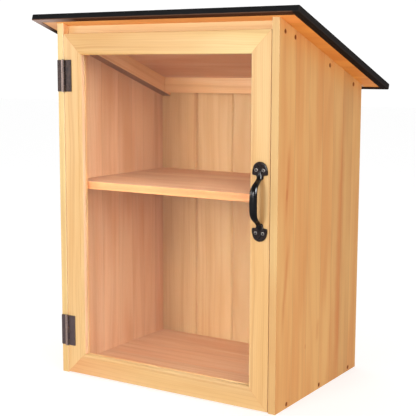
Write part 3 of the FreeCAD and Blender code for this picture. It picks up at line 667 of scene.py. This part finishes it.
def moulded(name, low, high):
    """Moulded plastic with a fine grain."""
    s = Shader(name)
    grain = s.noise(s.coordinates, 2200.0, 2.0, 0.5)
    cloud = s.noise(s.coordinates, 90.0, 3.0, 0.5)
    colour = s.blend(cloud, low, high)
    s.set(Base_Color=colour, Roughness=s.scaled(cloud, 0.12, 0.42),
          Normal=s.bump(grain, 0.00005, 0.5))
    return s.material


def dress_rest():
    dark_screw = metal("dark_screw_steel", shade(128, 62, 18), shade(158, 86, 30), 0.6, 0.0)
    bronze = bronzed_steel()
    zinc = metal("zinc_steel", shade(176, 178, 180), shade(206, 207, 205), 0.28)
    finishes = {
        "door_pane": clear_sheet(),
        "door_handle": black_iron(),
        "handle_screws": metal("handle_screw_steel", shade(44, 38, 38), shade(72, 64, 62), 0.36),
        "catch_case": moulded("catch_plastic", shade(176, 140, 92), shade(190, 152, 104)),
        "catch_magnet": metal("magnet", shade(60, 58, 58), shade(84, 82, 82), 0.6, 0.5),
        "catch_strike_plate": zinc, "catch_pole_plates": zinc, "shelf_pins": zinc,
        "catch_screws": zinc, "strike_screw": zinc, "bead_pins": zinc,
        "hinge_frame_screws": bronze, "hinge_door_screws": bronze,
        "floor_screws": dark_screw, "header_screws": dark_screw, "cleat_screws": dark_screw,
        "roof_screws": dark_screw, "back_board_screws": dark_screw,
    }
    for end in ("upper", "lower"):
        for part in ("frame_leaf", "door_leaf", "pin"):
            finishes["%s_hinge_%s" % (end, part)] = bronze
    for node, material in finishes.items():
        coat(node, material)
    # The handle screws get pale steel rims around their dark heads.
    pale_rim = metal("pale_screw_rim", shade(140, 132, 126), shade(186, 178, 170), 0.30)
    brown_rim = metal("brown_screw_rim", shade(146, 92, 48), shade(176, 116, 64), 0.55, 0.0)
    rims = {node: brown_rim if finishes[node] == dark_screw else finishes[node] for node in SCREW_NODES}
    rims["handle_screws"] = pale_rim
    for node, rim in rims.items():
        add_screws(node, rim)


# Roof cover: one sheet of felt folded down over the board's edges and turned in underneath, soft at its folds
FOLD_STEPS = 5
RETURN_STEPS = 4
CORNER_STEPS = 4
CORNER_ROUND = 1.2
CORNER_LEAST = 0.0001


def felt_profile(tall):
    """(inset, drop) of the sheet's outside, from the edge of its top to the end of its return."""
    angles = [i * math.pi / 2.0 / FOLD_STEPS for i in range(FOLD_STEPS + 1)]
    bend = [(FELT_FOLD * (1.0 - math.sin(a)), FELT_FOLD * (1.0 - math.cos(a))) for a in angles]
    lower_bend = [(inset, tall - drop) for inset, drop in reversed(bend)]
    run = (FELT_RETURN - FELT_FOLD) / RETURN_STEPS
    return bend + lower_bend + [(FELT_FOLD + run * i, tall) for i in range(1, RETURN_STEPS + 1)]


def rounded_outline(middle, half, inset):
    """Points round a rectangle that is pulled in by the inset, with rounded corners."""
    radius = max(FELT_FOLD * CORNER_ROUND - inset, CORNER_LEAST)
    points = []
    for turn, (sx, sy) in enumerate(((1, 1), (-1, 1), (-1, -1), (1, -1))):
        cx, cy = middle[0] + sx * (half[0] - inset - radius), middle[1] + sy * (half[1] - inset - radius)
        for i in range(CORNER_STEPS + 1):
            angle = math.pi / 2.0 * (turn + i / CORNER_STEPS)
            points.append((cx + radius * math.cos(angle), cy + radius * math.sin(angle)))
    return points


def add_roof_cover():
    level = Matrix.Rotation(ROOF_SLOPE, 3, "X")
    sloped = level.transposed()
    flat = [level @ v.co for v in nodes["roof_cover"].data.vertices]
    low = [min(p[i] for p in flat) for i in range(3)]
    high = [max(p[i] for p in flat) for i in range(3)]
    middle = [(a + b) / 2.0 for a, b in zip(low, high)]
    half = [(b - a) / 2.0 for a, b in zip(low, high)]

    shape = bmesh.new()
    rings = []
    for inset, drop in felt_profile(high[2] - low[2]):
        outline = rounded_outline(middle, half, inset)
        rings.append([shape.verts.new(sloped @ Vector((x, y, high[2] - drop))) for x, y in outline])
    for first, second in zip(rings, rings[1:]):
        for i in range(len(first)):
            shape.faces.new((first[i], second[i], second[i - 1], first[i - 1]))
    shape.faces.new(rings[0])
    bmesh.ops.recalc_face_normals(shape, faces=shape.faces)
    piece = smooth_piece("folded_felt", shape, [felt(low[2], high[0])])
    thick = piece.modifiers.new("thickness", "SOLIDIFY")
    thick.thickness = FELT_THICK
    thick.offset = -1.0
    rides_for(piece, "roof_cover")


def smooth_piece(name, shape, materials):
    """A new object from a bmesh, shaded smooth."""
    for face in shape.faces:
        face.smooth = True
    mesh = bpy.data.meshes.new(name)
    shape.to_mesh(mesh)
    shape.free()
    for material in materials:
        mesh.materials.append(material)
    piece = bpy.data.objects.new(name, mesh)
    bpy.context.scene.collection.objects.link(piece)
    return piece


def rides_for(piece, node):
    """The piece stands for a CAD node and rides with its body."""
    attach(piece, next(body for body, held in frame["record"]["behaviour"]["bodies"].items() if node in held))
    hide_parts(node)


# Screws with a cross recess, one for each screw of a CAD node. Rim and cross are shares of the head's radius,
# and their depths are shares of the neck's
SCREW_NODES = (
    "back_board_screws", "catch_screws", "cleat_screws", "floor_screws", "handle_screws", "header_screws",
    "hinge_door_screws", "hinge_frame_screws", "roof_screws", "strike_screw",
)
ROUND = 32
RIM_SHARE, RIM_DROP = 0.72, 0.16
CROSS_REACH, CROSS_HALF, CROSS_DEPTH, CROSS_TAPER = 0.56, 0.13, 0.75, 0.45
TIP_SHARE = 2.5
SHANK_FROM, SHANK_TO = 0.2, 0.8
SAME_PLACE = 1e-6
FIRST_TURN, TURN_STEP = 0.4, 1.1
SHARP_ANGLE = math.radians(32.0)


def separate_screws(node):
    """(middle of the head, direction to the tip, head and shank radius, neck depth, length) of each screw."""
    shape = bmesh.new()
    shape.from_mesh(nodes[node].data)
    bmesh.ops.remove_doubles(shape, verts=shape.verts, dist=SAME_PLACE)
    left, found = set(shape.verts), []
    while left:
        group, edge_of_group = [], [left.pop()]
        while edge_of_group:
            vert = edge_of_group.pop()
            group.append(vert.co.copy())
            near = {edge.other_vert(vert) for edge in vert.link_edges} & left
            left -= near
            edge_of_group.extend(near)
        found.append(group)
    shape.free()
    return [measured_screw(group) for group in sorted(found, key=lambda g: tuple(g[0]))]


def measured_screw(points):
    cloud = numpy.array([tuple(p) for p in points])
    middle = cloud.mean(axis=0)
    axis = numpy.linalg.eigh(numpy.cov((cloud - middle).T))[1][:, 2]
    depth = (cloud - middle) @ axis
    radius = numpy.linalg.norm(cloud - middle - numpy.outer(depth, axis), axis=1)
    head_radius = radius.max()
    if depth[radius.argmax()] > 0:
        axis, depth = -axis, -depth
    top = depth.min()
    on_shank = (radius > head_radius * SHANK_FROM) & (radius < head_radius * SHANK_TO)
    neck = depth[on_shank].min() - top
    shank_radius = numpy.median(radius[on_shank])
    return Vector(middle + axis * top), Vector(axis), head_radius, shank_radius, neck, depth.max() - top


def screw_shape(shape, place, direction, head, shank, neck, length, turn):
    """Countersunk screw with a chamfered rim and a cross recess that narrows downwards."""
    facing = direction.to_track_quat("Z", "Y").to_matrix().to_4x4()
    matrix = Matrix.Translation(place) @ facing @ Matrix.Rotation(turn, 4, "Z")

    def ring(radius, depth):
        angles = [2.0 * math.pi * i / ROUND for i in range(ROUND)]
        points = [Vector((radius * math.cos(a), radius * math.sin(a), depth)) for a in angles]
        return [shape.verts.new(matrix @ p) for p in points]

    def cross(share, depth):
        reach, half = head * CROSS_REACH * share, head * CROSS_HALF * (0.5 + 0.5 * share)
        corner = [(reach, -half), (reach, half), (half, half)]
        points = []
        for quarter in range(4):
            c, d = math.cos(quarter * math.pi / 2.0), math.sin(quarter * math.pi / 2.0)
            points += [Vector((x * c - y * d, x * d + y * c, depth)) for x, y in corner]
        return [shape.verts.new(matrix @ p) for p in points]

    def join(first, second, paint=0):
        for i in range(len(first)):
            shape.faces.new((first[i], first[i - 1], second[i - 1], second[i])).material_index = paint

    def loop(verts):
        return [shape.edges.get((verts[i], verts[i - 1])) for i in range(len(verts))]

    rings = [ring(head * RIM_SHARE, 0.0), ring(head, neck * RIM_DROP), ring(shank, neck),
             ring(shank, length - shank * TIP_SHARE)]
    for paint, (first, second) in zip((1, 0, 0), zip(rings, rings[1:])):
        join(first, second, paint)
    tip = shape.verts.new(matrix @ Vector((0.0, 0.0, length)))
    for i in range(ROUND):
        shape.faces.new((rings[-1][i], rings[-1][i - 1], tip))
    opening, foot = cross(1.0, 0.0), cross(CROSS_TAPER, neck * CROSS_DEPTH)
    join(foot, opening)
    shape.faces.new(foot)
    bmesh.ops.triangle_fill(shape, edges=loop(opening) + loop(rings[0]), use_beauty=True)


def add_screws(node, rim):
    shape = bmesh.new()
    for index, measures in enumerate(separate_screws(node)):
        screw_shape(shape, *measures, FIRST_TURN + index * TURN_STEP)
    bmesh.ops.recalc_face_normals(shape, faces=shape.faces)
    for edge in shape.edges:
        edge.smooth = edge.calc_face_angle(0.0) < SHARP_ANGLE
    rides_for(smooth_piece("cross_head_" + node, shape, [nodes[node].data.materials[0], rim]), node)


# Studio
def seen_through(tree, rays):
    """1 for what the camera sees straight through the pane."""
    direct = add_math(tree, "LESS_THAN", rays["Diffuse Depth"], 0.5)
    return add_math(tree, "MULTIPLY", rays["Is Transmission Ray"], direct)


def add_stage():
    """Pale floor that glows a little, so that it melts into the room; mirrored in gloss it is dimmer."""
    mesh = bpy.data.meshes.new("studio_floor")
    low, reach = cad_box[0][2], FLOOR_REACH
    corners = [(-reach, -reach, low), (reach, -reach, low), (reach, reach, low), (-reach, reach, low)]
    mesh.from_pydata(corners, [], [(0, 1, 2, 3)])
    floor = bpy.data.objects.new("studio_floor", mesh)
    bpy.context.scene.collection.objects.link(floor)
    s = Shader("studio_floor")
    rays = s.tree.nodes.new("ShaderNodeLightPath").outputs
    mirrored = s.times(rays["Is Glossy Ray"], s.minus(1.0, seen_through(s.tree, rays)))
    dimmed = s.scaled(mirrored, SKY_MIRRORED - 1.0, 1.0)
    white = s.times(dimmed, FLOOR_WHITE)
    s.set(Base_Color=s.join(white, white, white), Roughness=0.9, Emission_Color=WHITE,
          Emission_Strength=s.times(dimmed, FLOOR_GLOW))
    mesh.materials.append(s.material)


def add_light(name, place, size, power):
    data = bpy.data.lights.new(name, "AREA")
    data.shape = "DISK"
    data.size = size
    data.energy = power
    lamp = bpy.data.objects.new(name, data)
    lamp.location = place
    lamp.visible_camera = False
    lamp.rotation_euler = (Vector(LIGHT_AIM) - Vector(place)).to_track_quat("-Z", "Y").to_euler()
    bpy.context.scene.collection.objects.link(lamp)
    return lamp


def add_lights():
    for name, (place, size, power) in LAMPS.items():
        add_light(name, place, size, power)
    for name, (place, size, power) in GLOSS_PANELS.items():
        add_light(name, place, size, power).visible_diffuse = False
    world = bpy.data.worlds.new("studio")
    world.use_nodes = True
    tree = world.node_tree
    place = tree.nodes.new("ShaderNodeTexCoord")
    facing = tree.nodes.new("ShaderNodeVectorMath")
    facing.operation = "DOT_PRODUCT"
    facing.inputs[1].default_value = SKY_DIM_SIDE
    tree.links.new(place.outputs["Generated"], facing.inputs[0])
    fade = tree.nodes.new("ShaderNodeMapRange")
    fade.interpolation_type = "SMOOTHSTEP"
    fade.inputs["From Min"].default_value = SKY_FADE_START
    fade.inputs["From Max"].default_value = SKY_FADE_END
    fade.inputs["To Min"].default_value = SKY_BRIGHT
    fade.inputs["To Max"].default_value = SKY_DIM
    tree.links.new(facing.outputs["Value"], fade.inputs["Value"])
    rays = tree.nodes.new("ShaderNodeLightPath").outputs
    mirrored = add_math(tree, "MULTIPLY_ADD", rays["Is Glossy Ray"], SKY_MIRRORED - 1.0, 1.0)
    seen = add_math(tree, "MAXIMUM", rays["Is Camera Ray"], seen_through(tree, rays))
    strength = add_math(tree, "MAXIMUM", add_math(tree, "MULTIPLY", fade.outputs[0], mirrored),
                        add_math(tree, "MULTIPLY", seen, SKY_BRIGHT))
    tree.links.new(strength, tree.nodes["Background"].inputs["Strength"])
    tree.nodes["Background"].inputs["Color"].default_value = WHITE
    bpy.context.scene.world = world
    bpy.context.scene.view_settings.view_transform = "Standard"


def add_camera():
    right = Vector((math.cos(CAMERA_YAW), math.sin(CAMERA_YAW), 0.0))
    up = right.cross(CAMERA_AIM)
    level_right = right * math.cos(CAMERA_ROLL) + up * math.sin(CAMERA_ROLL)
    level_up = up * math.cos(CAMERA_ROLL) - right * math.sin(CAMERA_ROLL)
    turn = Matrix((level_right, level_up, -CAMERA_AIM)).transposed()
    data = bpy.data.cameras.new("camera")
    data.lens = CAMERA_LENS
    data.sensor_width = CAMERA_SENSOR
    camera = bpy.data.objects.new("camera", data)
    camera.matrix_world = Matrix.Translation(CAMERA_PLACE) @ turn.to_4x4()
    bpy.context.scene.collection.objects.link(camera)
    bpy.context.scene.camera = camera


dress_wood()
dress_rest()
add_roof_cover()
add_stage()
add_lights()
add_camera()
